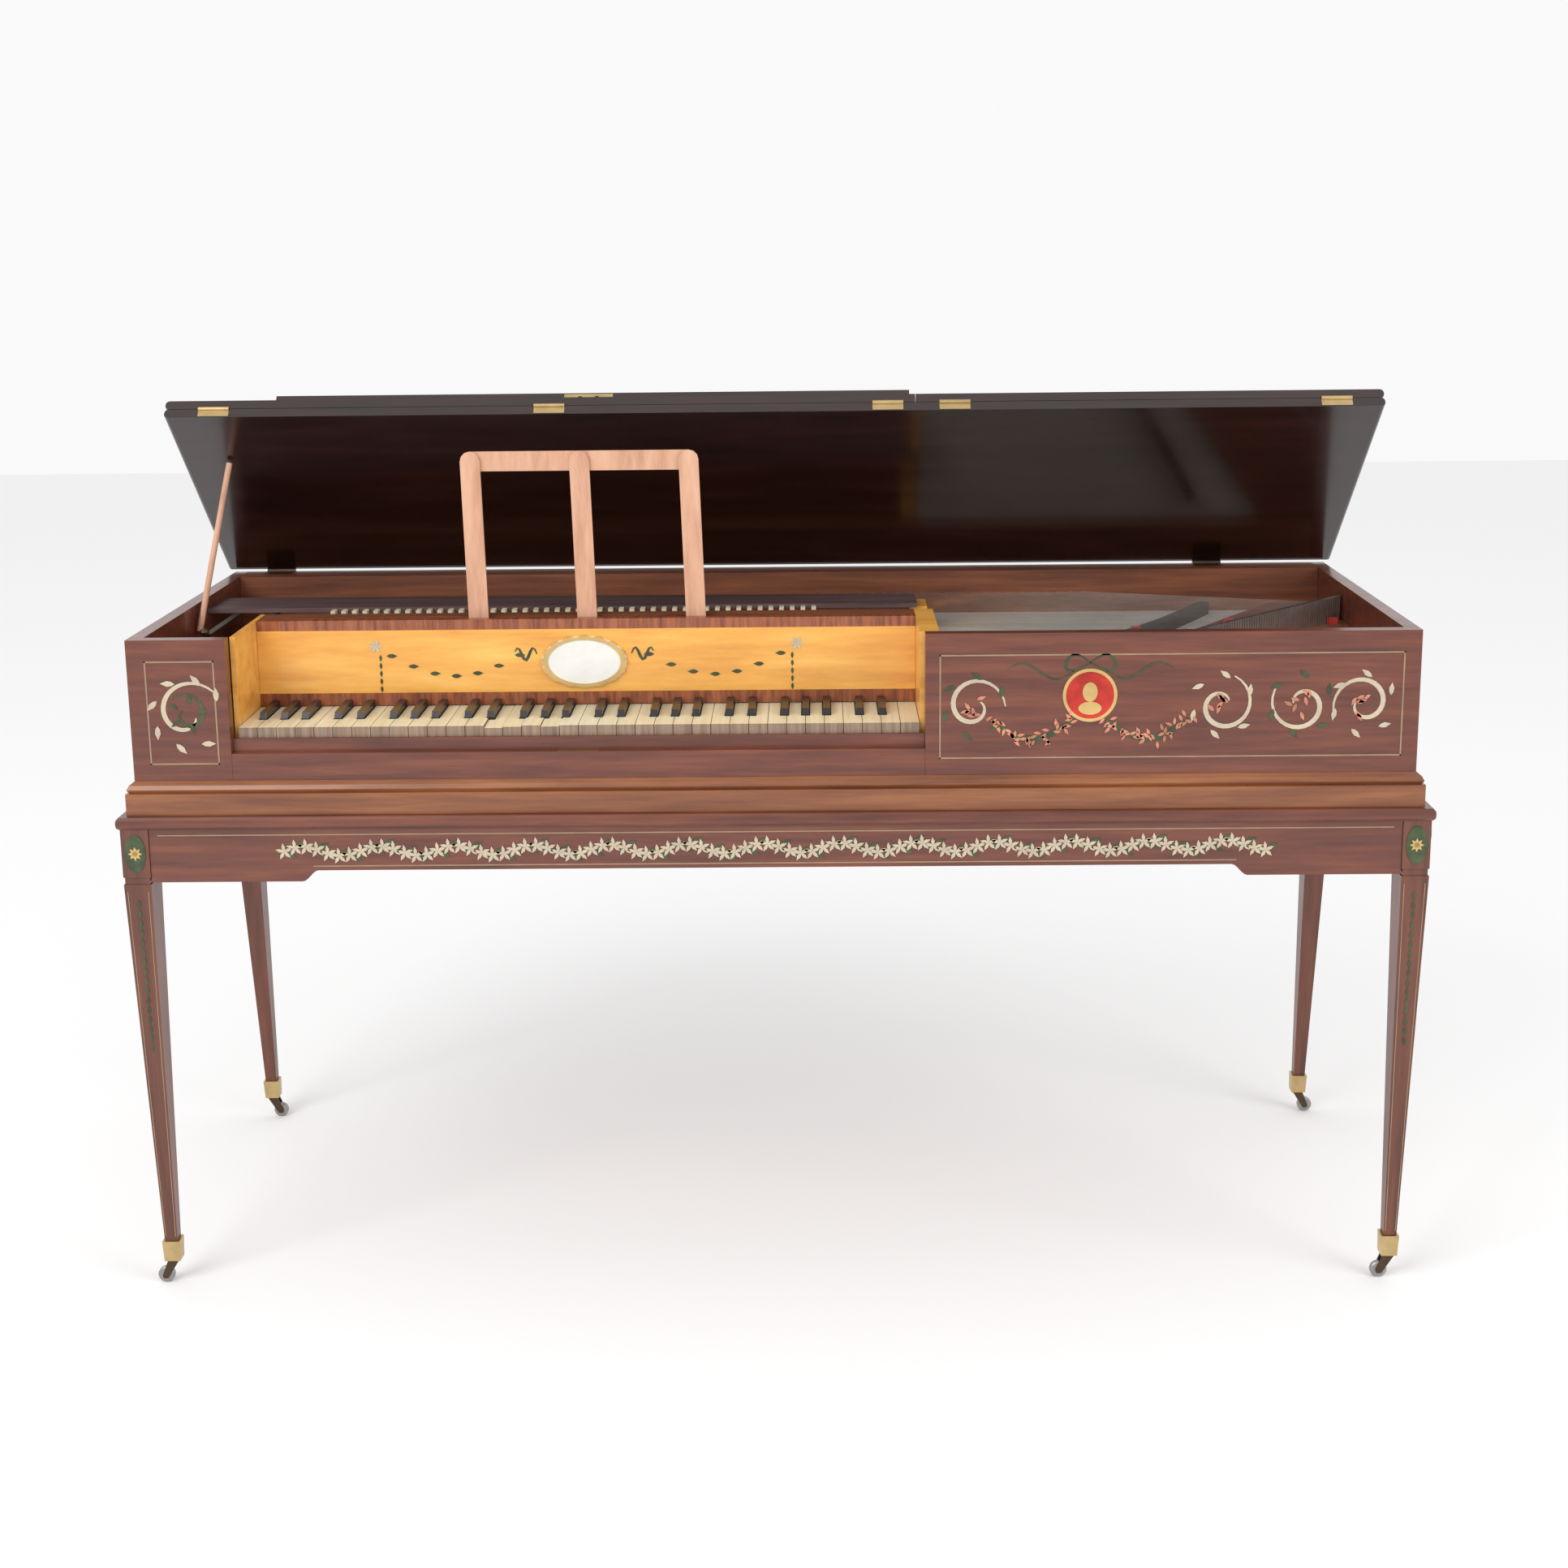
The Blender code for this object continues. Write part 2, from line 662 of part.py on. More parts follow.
def build_desk():
    base = Vector((0, depth(desk_front), case_top))
    lean = Matrix.Translation(base) @ Matrix.Rotation(math.radians(-desk_lean), 4, "X")
    down = desk_pivot_drop / math.cos(math.radians(desk_lean))
    half = desk_bar / 2
    for k, name in enumerate(("left_desk_stile", "middle_desk_stile", "right_desk_stile")):
        x = desk_pivot_left + k * desk_pitch
        outline = [(-half, -half * 0.9), (half, -half * 0.9), (half, desk_length)]
        for step in range(1, 6):
            a = math.pi * step / 6
            outline.append((half * math.cos(a), desk_length + half * math.sin(a)))
        outline.append((-half, desk_length))
        place = lean @ Matrix.Translation((x, 0, -down)) @ Matrix.Rotation(math.radians(-desk_sway), 4, "Y")
        stile = add_object(name, prism_mesh(outline, "y", 0, desk_thickness), desk_wood)
        stile.matrix_world = place
    sway = math.radians(desk_sway)
    top_x = desk_pivot_left - desk_length * math.sin(sway)
    top_z = -down + desk_length * math.cos(sway)
    length = 2 * desk_pitch
    outline = []
    for end, start in ((length, -90), (0, 90)):
        for step in range(7):
            a = math.radians(start + 30 * step)
            outline.append((end + half * math.cos(a), half * math.sin(a)))
    y0 = desk_thickness + gap
    rail = add_object("desk_rail", prism_mesh(outline, "y", y0, y0 + desk_thickness), desk_wood)
    rail.matrix_world = lean @ Matrix.Translation((top_x, 0, top_z))


def build_stand():
    top = height(case_height + slab_height) - gap
    under = top - strip_height
    front = depth(strip_front)
    round_over = ((0, 0.003), (0.003, 0.0005), (0.0075, 0.0), (0.012, 0.0005), (strip_height, 0.003))
    rings = [(under + rise, -strip_half + back, strip_half - back, front + back, front + strip_width) for rise, back in round_over]
    front_rail = add_object("front_stand_rail", rings_mesh(rings), mahogany)
    inner = leg_inner - gap
    frieze_top = under + 0.002
    arch = frieze_height - frieze_arch
    curve = []
    for k in range(7):
        t = k / 6
        ease = (1 - math.cos(math.pi * t)) / 2
        curve.append((arch_start - 0.020 * t, under - frieze_height + frieze_arch * ease))
    right_side = [(inner, frieze_top), (inner, under - frieze_height)] + curve
    left_side = [(-x, z) for x, z in reversed(right_side)]
    y0 = depth(leg_front + 0.002)
    combine(front_rail, prism_mesh(right_side + left_side, "y", y0, y0 + frieze_thickness), "UNION")
    side_front = front + strip_width + gap
    for name, side in (("left_stand_rail", -1), ("right_stand_rail", 1)):
        rings = []
        for rise, back in round_over:
            xs = sorted((side * (strip_half - back), side * (strip_half - strip_width)))
            rings.append((under + rise, xs[0], xs[1], side_front, back_y))
        rail = add_object(name, rings_mesh(rings), mahogany)
        outer = leg_inner + leg_width - 0.002
        xs = sorted((side * outer, side * (outer - frieze_thickness)))
        low = (xs[0], depth(leg_front + leg_depth) + gap, under - frieze_height)
        high = (xs[1], back_y - leg_depth - gap, frieze_top)
        combine(rail, box_mesh(low, high), "UNION")
    strip_inner = strip_half - strip_width - gap
    low = (-strip_inner, back_y - strip_width, under)
    rear = add_object("rear_stand_rail", box_mesh(low, (strip_inner, back_y, top)), mahogany)
    frieze_low = under - frieze_height
    neck = box_mesh((-strip_inner, back_y - frieze_thickness, frieze_low + 0.002), (strip_inner, back_y, frieze_top))
    combine(rear, neck, "UNION")
    wide = box_mesh((-inner, back_y - frieze_thickness, frieze_low), (inner, back_y, under - gap))
    combine(rear, wide, "UNION")


def leg_section(z, side, rear):
    """Low and high x and y of a leg at world height z."""
    start = height(case_height + slab_height + strip_height + block_height + groove_height)
    foot = height(leg_foot)
    t = max(0.0, min(1.0, (start - z) / (start - foot)))
    width = leg_width + (leg_foot_size[0] - leg_width) * t
    thick = leg_depth + (leg_foot_size[1] - leg_depth) * t
    xs = sorted((side * leg_inner, side * (leg_inner + width)))
    if rear:
        return xs[0], xs[1], back_y - thick, back_y
    return xs[0], xs[1], depth(leg_front), depth(leg_front) + thick


def build_castor(place, name, trail_side):
    """Swivelling fork with its wheel, hung from the ferrule's underside."""
    x, y, z = place
    fork = lathe_mesh(
        [(0, stem_length), (stem_radius, stem_length), (stem_radius, 0), (plate_radius, 0), (plate_radius, -plate_thickness), (0, -plate_thickness)],
        24,
    )
    fork = add_object(f"{name}_castor_fork", fork, dark_iron)
    axle_z = wheel_radius - (z - 0)
    inside = wheel_width / 2 + gap
    arm = ((-0.007, -0.001), (0.007, -0.001), (castor_trail + 0.004, axle_z), (castor_trail + 0.003, axle_z - 0.004), (castor_trail - 0.003, axle_z - 0.004))
    for side in (-1, 1):
        ys = sorted((side * inside, side * (inside + arm_thickness)))
        combine(fork, prism_mesh(arm, "y", ys[0], ys[1]), "UNION")
    axle = along_y(rod_mesh(axle_radius, 2 * inside + arm_thickness, 16), (castor_trail, 0, axle_z))
    combine(fork, axle, "UNION")
    spin = Matrix.Rotation(math.pi if trail_side < 0 else 0.0, 4, "Z")
    fork.matrix_world = Matrix.Translation(place) @ spin
    for child in fork.modifiers:
        child.object.matrix_world = fork.matrix_world
    half = wheel_width / 2
    profile = [(wheel_bore, -half), (wheel_radius - 0.0015, -half), (wheel_radius, -half + 0.0015), (wheel_radius, half - 0.0015), (wheel_radius - 0.0015, half), (wheel_bore, half)]
    wheel = along_y(lathe_mesh(profile, 32, closed=True), (0, 0, 0))
    made = add_object(f"{name}_castor_wheel", wheel, dark_iron)
    made.matrix_world = Matrix.Translation((x + trail_side * castor_trail, y, wheel_radius))


def build_legs():
    top = height(case_height + slab_height + strip_height) - 2 * gap
    block = top - block_height
    start = block - groove_height
    foot = height(leg_foot)
    for name, side, rear, trail in (("front_left", -1, False, -1), ("front_right", 1, False, -1), ("rear_left", -1, True, 1), ("rear_right", 1, True, 1)):
        levels = [(foot, 0), (start, 0), (start + 0.0001, groove_depth), (block - 0.0001, groove_depth), (block, 0), (top, 0)]
        rings = []
        for z, inset in levels:
            x0, x1, y0, y1 = leg_section(z, side, rear)
            rings.append((z, x0 + inset, x1 - inset, y0 + inset, y1 - inset))
        add_object(f"{name}_leg", rings_mesh(rings), mahogany)
        rings = []
        cup = ((height(ferrule_bottom), ferrule_wall + gap), (height(ferrule_top), ferrule_wall + gap + ferrule_flare), (height(ferrule_top), gap), (foot - gap, gap))
        for z, out in cup:
            x0, x1, y0, y1 = leg_section(z, side, rear)
            rings.append((z, x0 - out, x1 + out, y0 - out, y1 + out))
        ferrule = add_object(f"{name}_ferrule", rings_mesh(rings), brass)
        x0, x1, y0, y1 = leg_section(foot, side, rear)
        x = (x0 + x1) / 2
        y = (y0 + y1) / 2
        hole = moved(rod_mesh(stem_radius + gap, 0.014, 24), Matrix.Translation((x, y, height(ferrule_bottom))))
        combine(ferrule, hole, "DIFFERENCE")
        build_castor((x, y, height(ferrule_bottom) - gap), name, trail)


build_case()
build_keywell()
build_sounding_parts()
build_keys()
build_stops()
build_lid()
build_prop()
build_desk()
build_stand()
build_legs()
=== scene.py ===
"""Looks of the square piano: wood, paint, brass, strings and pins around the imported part."""

import math
import random

import bpy
from mathutils import Matrix, Vector


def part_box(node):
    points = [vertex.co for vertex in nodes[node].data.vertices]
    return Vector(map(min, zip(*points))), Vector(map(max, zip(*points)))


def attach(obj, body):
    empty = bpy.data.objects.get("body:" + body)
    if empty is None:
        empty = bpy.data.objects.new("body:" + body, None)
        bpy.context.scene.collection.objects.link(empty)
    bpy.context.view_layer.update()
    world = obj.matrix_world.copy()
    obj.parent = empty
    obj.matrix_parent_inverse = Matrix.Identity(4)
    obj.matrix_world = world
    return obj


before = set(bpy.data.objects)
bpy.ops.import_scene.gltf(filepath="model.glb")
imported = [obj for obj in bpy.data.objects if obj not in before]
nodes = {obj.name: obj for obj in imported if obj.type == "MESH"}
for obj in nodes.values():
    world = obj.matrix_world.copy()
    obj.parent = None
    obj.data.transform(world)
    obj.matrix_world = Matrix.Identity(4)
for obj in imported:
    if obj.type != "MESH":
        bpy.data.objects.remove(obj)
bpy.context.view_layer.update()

# Places of the case in the part's frame, in metres
CASE_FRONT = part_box("right_front_panel")[0][1]
CASE_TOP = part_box("right_front_panel")[1][2]

# Paint and inlay lie this far in front of the wood for each layer under them
LIFT = 0.0004

# Grain along x, along z and even
ALONG_X = (1.0, 14.0, 14.0)
ALONG_Z = (14.0, 14.0, 1.0)
EVEN = (1.0, 1.0, 1.0)
SATIN_GRAIN = (1.2, 9.0, 9.0)
LID_GRAIN = (1.0, 10.0, 10.0)
WOOD_SCALE = 5.0

# Dark, middle and light colour, roughness, grain and coat of each wood
WOODS = {
    "mahogany": ((0.075, 0.018, 0.010), (0.13, 0.032, 0.016), (0.20, 0.055, 0.026), 0.32, ALONG_X, 0.3),
    "band_mahogany": ((0.14, 0.040, 0.014), (0.22, 0.070, 0.022), (0.32, 0.115, 0.038), 0.30, ALONG_X, 0.3),
    "leg_mahogany": ((0.075, 0.022, 0.012), (0.125, 0.036, 0.018), (0.18, 0.055, 0.028), 0.34, ALONG_Z, 0.2),
    "lid_wood": ((0.010, 0.0035, 0.003), (0.018, 0.006, 0.005), (0.030, 0.010, 0.008), 0.18, LID_GRAIN, 0.5),
    "inner_wood": ((0.10, 0.030, 0.014), (0.17, 0.052, 0.022), (0.26, 0.085, 0.036), 0.42, ALONG_X, 0.0),
    "satin": ((0.62, 0.26, 0.045), (0.76, 0.36, 0.065), (0.86, 0.46, 0.105), 0.30, SATIN_GRAIN, 0.3),
    "desk_wood": ((0.42, 0.20, 0.115), (0.56, 0.30, 0.19), (0.66, 0.39, 0.26), 0.45, (10.0, 10.0, 1.2), 0.0),
    "pale_board": ((0.42, 0.40, 0.36), (0.52, 0.50, 0.45), (0.60, 0.58, 0.52), 0.6, ALONG_X, 0.0),
    "dust_wood": ((0.055, 0.030, 0.032), (0.095, 0.055, 0.055), (0.14, 0.085, 0.08), 0.5, ALONG_X, 0.0),
}

# Colour, roughness, metallic share and spread of each metal, paint and ivory
FINISHES = {
    "ebony": ((0.014, 0.012, 0.012), 0.28, 0.0, 0.12),
    "brass": ((0.55, 0.40, 0.19), 0.36, 1.0, 0.12),
    "dark_bronze": ((0.09, 0.06, 0.04), 0.45, 0.9, 0.12),
    "wheel_metal": ((0.32, 0.31, 0.30), 0.42, 0.8, 0.12),
    "steel": ((0.55, 0.54, 0.52), 0.3, 1.0, 0.12),
    "stringing": ((0.30, 0.20, 0.12), 0.4, 0.0, 0.12),
    "pale_ivory": ((0.72, 0.64, 0.45), 0.3, 0.0, 0.12),
    "white_enamel": ((0.78, 0.76, 0.72), 0.3, 0.0, 0.05),
    "cream_paint": ((0.50, 0.42, 0.30), 0.5, 0.0, 0.12),
    "green_paint": ((0.045, 0.065, 0.025), 0.5, 0.0, 0.4),
    "rose_paint": ((0.52, 0.20, 0.12), 0.5, 0.0, 0.3),
    "red_felt": ((0.45, 0.03, 0.02), 0.9, 0.0, 0.3),
    "gold_paint": ((0.62, 0.42, 0.16), 0.42, 0.6, 0.12),
}

# The CAD nodes that each material dresses
LEGS = ("front_left", "front_right", "rear_left", "rear_right")
DRESS = {
    "mahogany": (
        "left_front_panel", "right_front_panel", "left_side", "right_side", "low_front_rail",
        "front_stand_rail", "left_stand_rail", "right_stand_rail", "rear_stand_rail",
    ),
    "band_mahogany": ("case_bottom",),
    "inner_wood": ("case_back", "wrest_plank", "nameboard_ledge"),
    "leg_mahogany": tuple(leg + "_leg" for leg in LEGS),
    "brass": tuple(leg + "_ferrule" for leg in LEGS) + (
        "lock", "flap_hinge_far_left", "flap_hinge_middle", "flap_hinge_inner",
        "flap_hinge_right_inner", "flap_hinge_far_right",
    ),
    "dark_bronze": tuple(leg + "_castor_fork" for leg in LEGS) + (
        "left_lid_hinge", "right_lid_hinge", "front_stop", "rear_stop",
    ),
    "wheel_metal": tuple(leg + "_castor_wheel" for leg in LEGS),
    "lid_wood": ("lid", "left_flap", "right_flap", "lock_board"),
    "satin": ("left_cheek", "belly_rail"),
    "nameboard_satin": ("nameboard",),
    "white_enamel": ("name_plaque",),
    "pale_board": ("key_frame",),
    "board_with_bridge": ("soundboard",),
    "dust_wood": ("dust_board",),
    "key_ivory": ("natural_keys", "sunk_key_low", "sunk_key_middle", "sunk_key_high"),
    "ebony": ("sharp_keys",),
    "desk_wood": ("left_desk_stile", "middle_desk_stile", "right_desk_stile", "desk_rail", "prop"),
}

# Nameboard: drops below the case's top where its crossbanding ends
BAND_TOP_END = 0.0145
BAND_FOOT_START = 0.0953

# The bridge is what stands above this drop on the soundboard
BRIDGE_FOOT = 0.0595

# Front panels: line borders from x to x and from drop to drop, and the paint's middles
LEFT_BORDER = (-0.761, -0.676)
RIGHT_BORDER = (0.203, 0.763)
BORDER_DROPS = (0.026, 0.155)
BORDER_WIDTH = 0.0018
LEFT_WREATH = (-0.712, 0.092)
MEDALLION = (0.385, 0.077)
SCROLL_DROP = 0.090
SCROLLS = ((0.245, 1), (0.545, -1), (0.640, 1), (0.715, -1))

# Frieze of the stand: its face, its top, the flowers' reach, and lines from x to x at a drop below its top
FRIEZE_DEPTH = -0.015
FRIEZE_DROP = 0.232
FLOWER_REACH = 0.60
FLOWER_COUNT = 90
FRIEZE_LINES = ((-0.755, 0.755, 0.008), (-0.565, 0.565, 0.048))
FRIEZE_LINE_WIDTH = 0.0015

# Legs: face, inner edge, widths and drops of the taper, and the rosette on the block
LEG_FRONT = -0.017
LEG_INNER = 0.766
LEG_TOP_WIDTH = 0.034
LEG_FOOT_WIDTH = 0.0154
TAPER_DROP = 0.302
TAPER_LENGTH = 0.494
ROSETTE = (0.783, 0.263)
BLOCK_SIDE = 0.800
BOLT_DROP = 0.254

# Name plaque: middle and half sizes of its rim
PLAQUE = (-0.2398, 0.0565)
PLAQUE_HALF = (0.054, 0.033)

# Tuning pins: pairs of them in a row that runs back and to the right
PIN_PAIRS = 61
PIN_START = (0.524, 0.090)
PIN_RUN = (0.236, 0.240)


def depth(y):
    """World y of a place that is y behind the case's front face."""
    return CASE_FRONT + y


def height(drop):
    """World z of a place that is drop below the case's top."""
    return CASE_TOP - drop


# Materials


def new_material(name):
    """A material with its node tree and its shader."""
    made = bpy.data.materials.new(name)
    made.use_nodes = True
    return made, made.node_tree, made.node_tree.nodes["Principled BSDF"]


def grain(tree, stretch, scale):
    """Noise in the piece's own places, finer along the axes with the larger stretch."""
    place = tree.nodes.new("ShaderNodeTexCoord")
    mapping = tree.nodes.new("ShaderNodeMapping")
    mapping.inputs["Scale"].default_value = stretch
    noise = tree.nodes.new("ShaderNodeTexNoise")
    noise.inputs["Scale"].default_value = scale
    noise.inputs["Detail"].default_value = 6.0
    noise.inputs["Roughness"].default_value = 0.62
    tree.links.new(place.outputs["Object"], mapping.inputs["Vector"])
    tree.links.new(mapping.outputs["Vector"], noise.inputs["Vector"])
    return noise.outputs["Fac"]


def ramp(tree, value, stops):
    """Colours along a value."""
    made = tree.nodes.new("ShaderNodeValToRGB")
    while len(made.color_ramp.elements) < len(stops):
        made.color_ramp.elements.new(0.5)
    for element, (place, colour) in zip(made.color_ramp.elements, stops):
        element.position = place
        element.color = (*colour, 1.0)
    tree.links.new(value, made.inputs["Fac"])
    return made.outputs["Color"]


def wood_ramp(tree, value, dark, middle, light):
    """The three colours of a wood along its grain."""
    return ramp(tree, value, ((0.30, dark), (0.50, middle), (0.72, light)))


def bump(tree, shader, value, strength, distance=0.0004):
    """Relief of a value on the surface."""
    made = tree.nodes.new("ShaderNodeBump")
    made.inputs["Strength"].default_value = strength
    made.inputs["Distance"].default_value = distance
    tree.links.new(value, made.inputs["Height"])
    tree.links.new(made.outputs["Normal"], shader.inputs["Normal"])


def mixed(tree, factor, one, two):
    """The first colour where the factor is 0, the second where it is 1."""
    made = tree.nodes.new("ShaderNodeMix")
    made.data_type = "RGBA"
    tree.links.new(factor, made.inputs["Factor"])
    tree.links.new(one, made.inputs["A"])
    tree.links.new(two, made.inputs["B"])
    return made.outputs["Result"]


def z_over(tree, vector, level):
    """1 where a vector's z is greater than a level, else 0."""
    parts = tree.nodes.new("ShaderNodeSeparateXYZ")
    test = tree.nodes.new("ShaderNodeMath")
    test.operation = "GREATER_THAN"
    test.inputs[1].default_value = level
    tree.links.new(vector, parts.inputs["Vector"])
    tree.links.new(parts.outputs["Z"], test.inputs[0])
    return test.outputs["Value"]


def above(tree, drop):
    """1 where the place lies higher than a drop below the case's top, else 0."""
    place = tree.nodes.new("ShaderNodeTexCoord")
    return z_over(tree, place.outputs["Object"], height(drop))


def upward(tree):
    """1 on faces that look up, else 0."""
    geometry = tree.nodes.new("ShaderNodeNewGeometry")
    return z_over(tree, geometry.outputs["Normal"], 0.7)


def wood(name, dark, middle, light, roughness, stretch, coat):
    """Polished or plain wood with grain and uneven wear."""
    made, tree, shader = new_material(name)
    value = grain(tree, stretch, WOOD_SCALE)
    tree.links.new(wood_ramp(tree, value, dark, middle, light), shader.inputs["Base Color"])
    rough = tree.nodes.new("ShaderNodeMapRange")
    rough.inputs["To Min"].default_value = roughness - 0.06
    rough.inputs["To Max"].default_value = roughness + 0.12
    tree.links.new(grain(tree, EVEN, 9.0), rough.inputs["Value"])
    tree.links.new(rough.outputs["Result"], shader.inputs["Roughness"])
    shader.inputs["Coat Weight"].default_value = coat
    shader.inputs["Coat Roughness"].default_value = 0.12
    bump(tree, shader, value, 0.25)
    return made


def finish(name, colour, roughness, metallic, spread):
    """Metal, paint or ivory with slight wear."""
    made, tree, shader = new_material(name)
    value = grain(tree, EVEN, 40.0)
    low = tuple(c * (1 - spread) for c in colour)
    high = tuple(min(1.0, c * (1 + spread)) for c in colour)
    tree.links.new(ramp(tree, value, ((0.35, low), (0.65, high))), shader.inputs["Base Color"])
    shader.inputs["Roughness"].default_value = roughness
    shader.inputs["Metallic"].default_value = metallic
    bump(tree, shader, value, 0.15, 0.0002)
    return made


def nameboard_satin():
    """Satinwood with a red-brown crossbanding along its top and its foot."""
    made, tree, shader = new_material("nameboard_satin")
    value = grain(tree, SATIN_GRAIN, WOOD_SCALE)
    gold = wood_ramp(tree, value, (0.66, 0.28, 0.045), (0.80, 0.38, 0.065), (0.90, 0.50, 0.11))
    cross = grain(tree, (30.0, 3.0, 3.0), 6.0)
    red = ramp(tree, cross, ((0.35, (0.16, 0.035, 0.014)), (0.62, (0.34, 0.10, 0.035))))
    lower = mixed(tree, above(tree, BAND_FOOT_START), red, gold)
    whole = mixed(tree, above(tree, BAND_TOP_END), lower, red)
    tree.links.new(whole, shader.inputs["Base Color"])
    shader.inputs["Roughness"].default_value = 0.3
    shader.inputs["Coat Weight"].default_value = 0.3
    bump(tree, shader, value, 0.15)
    return made


def key_ivory():
    """Ivory on the faces that look up, brown wood on the rest."""
    made, tree, shader = new_material("key_ivory")
    value = grain(tree, (40.0, 2.0, 2.0), 4.0)
    top = ramp(tree, value, ((0.3, (0.66, 0.58, 0.36)), (0.7, (0.80, 0.74, 0.54))))
    side = ramp(tree, value, ((0.3, (0.16, 0.10, 0.07)), (0.7, (0.34, 0.24, 0.16))))
    tree.links.new(mixed(tree, upward(tree), side, top), shader.inputs["Base Color"])
    shader.inputs["Roughness"].default_value = 0.32
    return made


def board_with_bridge():
    """Pale board with everything above its top, which is the bridge, in black."""
    made, tree, shader = new_material("board_with_bridge")
    value = grain(tree, ALONG_X, WOOD_SCALE)
    pale = wood_ramp(tree, value, (0.44, 0.42, 0.38), (0.54, 0.52, 0.47), (0.62, 0.60, 0.54))
    black = ramp(tree, value, ((0.30, (0.010, 0.009, 0.009)), (0.72, (0.022, 0.019, 0.018))))
    tree.links.new(mixed(tree, above(tree, BRIDGE_FOOT), pale, black), shader.inputs["Base Color"])
    shader.inputs["Roughness"].default_value = 0.55
    bump(tree, shader, value, 0.2)
    return made


looks = {name: wood(name, *values) for name, values in WOODS.items()}
looks.update((name, finish(name, *values)) for name, values in FINISHES.items())
looks.update((made.name, made) for made in (nameboard_satin(), key_ivory(), board_with_bridge()))


def dress_nodes():
    """Gives each CAD node its material."""
    for look, names in DRESS.items():
        for name in names:
            slots = nodes[name].data.materials
            slots.clear()
            slots.append(looks[look])


# Pieces: all of them belong to the case


def add_mesh(name, verts, faces, look):
    """A piece that rides on the case."""
    mesh = bpy.data.meshes.new(name)
    mesh.from_pydata(verts, [], faces)
    mesh.update()
    made = bpy.data.objects.new(name, mesh)
    mesh.materials.append(looks[look])
    bpy.context.collection.objects.link(made)
    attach(made, "case")


def box_data(low, high):
    """Points and faces of a box between two corners."""
    (x0, y0, z0), (x1, y1, z1) = low, high
    verts = [(x0, y0, z0), (x1, y0, z0), (x1, y1, z0), (x0, y1, z0)]
    verts += [(x0, y0, z1), (x1, y0, z1), (x1, y1, z1), (x0, y1, z1)]
    faces = [(0, 3, 2, 1), (4, 5, 6, 7), (0, 1, 5, 4), (1, 2, 6, 5), (2, 3, 7, 6), (3, 0, 4, 7)]
    return verts, faces


def boxes(name, corners, look):
    """One piece made of several boxes."""
    verts = []
    faces = []
    for low, high in corners:
        more, sides = box_data(low, high)
        faces += [tuple(i + len(verts) for i in side) for side in sides]
        verts += more
    add_mesh(name, verts, faces, look)


def circle_angles(count):
    """Evenly spaced angles of a full turn."""
    return [2 * math.pi * k / count for k in range(count)]


def rods(name, ends, radius, look, sides):
    """One piece made of several thin rods between pairs of points."""
    verts = []
    faces = []
    for start, end in ends:
        start = Vector(start)
        end = Vector(end)
        along = (end - start).normalized()
        side = along.orthogonal().normalized()
        other = along.cross(side)
        base = len(verts)
        for place in (start, end):
            for a in circle_angles(sides):
                verts.append(tuple(place + radius * (math.cos(a) * side + math.sin(a) * other)))
        for k in range(sides):
            n = (k + 1) % sides
            faces.append((base + k, base + n, base + sides + n, base + sides + k))
        faces.append(tuple(base + k for k in reversed(range(sides))))
        faces.append(tuple(base + sides + k for k in range(sides)))
    add_mesh(name, verts, faces, look)


def border(name, xs):
    """A rectangle of thin lines on the case's front."""
    x0, x1 = xs
    z1, z0 = (height(drop) for drop in BORDER_DROPS)
    y0 = depth(0) - LIFT
    y1 = depth(0) + LIFT
    corners = [
        ((x0, y0, z1 - BORDER_WIDTH), (x1, y1, z1)),
        ((x0, y0, z0), (x1, y1, z0 + BORDER_WIDTH)),
        ((x0, y0, z0), (x0 + BORDER_WIDTH, y1, z1)),
        ((x1 - BORDER_WIDTH, y0, z0), (x1, y1, z1)),
    ]
    boxes(name, corners, "stringing")


def ribbon(name, points, width, look, y):
    """A flat stroke on a face at y that looks to the front, through (x, z) points, thinner at its ends."""
    level = y - LIFT
    verts = []
    faces = []
    count = len(points)
    for i, (x, z) in enumerate(points):
        a = points[max(0, i - 1)]
        b = points[min(count - 1, i + 1)]
        dx = b[0] - a[0]
        dz = b[1] - a[1]
        size = math.hypot(dx, dz) or 1.0
        half = width * (0.25 + 0.75 * math.sin(math.pi * (i + 0.5) / count)) / 2
        verts.append((x - dz / size * half, level, z + dx / size * half))
        verts.append((x + dz / size * half, level, z - dx / size * half))
    for i in range(count - 1):
        faces.append((2 * i, 2 * i + 1, 2 * i + 3, 2 * i + 2))
    add_mesh(name, verts, faces, look)


def spiral(cx, cz, radius, turns, start, direction):
    """Points of a spiral that winds in from a radius."""
    steps = 28
    points = []
    for k in range(steps + 1):
        t = k / steps
        a = start + direction * 2 * math.pi * turns * t
        r = radius * (1 - 0.75 * t)
        points.append((cx + r * math.cos(a), cz + r * math.sin(a)))
    return points


def disc(name, cx, cz, rx, rz, look, y, layer):
    """A flat oval on a face at y that looks to the front."""
    level = y - LIFT * layer
    verts = [(cx + rx * math.cos(a), level, cz + rz * math.sin(a)) for a in circle_angles(40)]
    add_mesh(name, verts, [tuple(range(len(verts)))], look)


def leaf(cx, cz, length, angle):
    """Outline of a pointed leaf."""
    points = []
    for t, w in ((0, 0), (0.25, 0.16), (0.55, 0.2), (1, 0), (0.55, -0.2), (0.25, -0.16)):
        x = t * length
        z = w * length
        turned_x = x * math.cos(angle) - z * math.sin(angle)
        turned_z = x * math.sin(angle) + z * math.cos(angle)
        points.append((cx + turned_x, cz + turned_z))
    return points


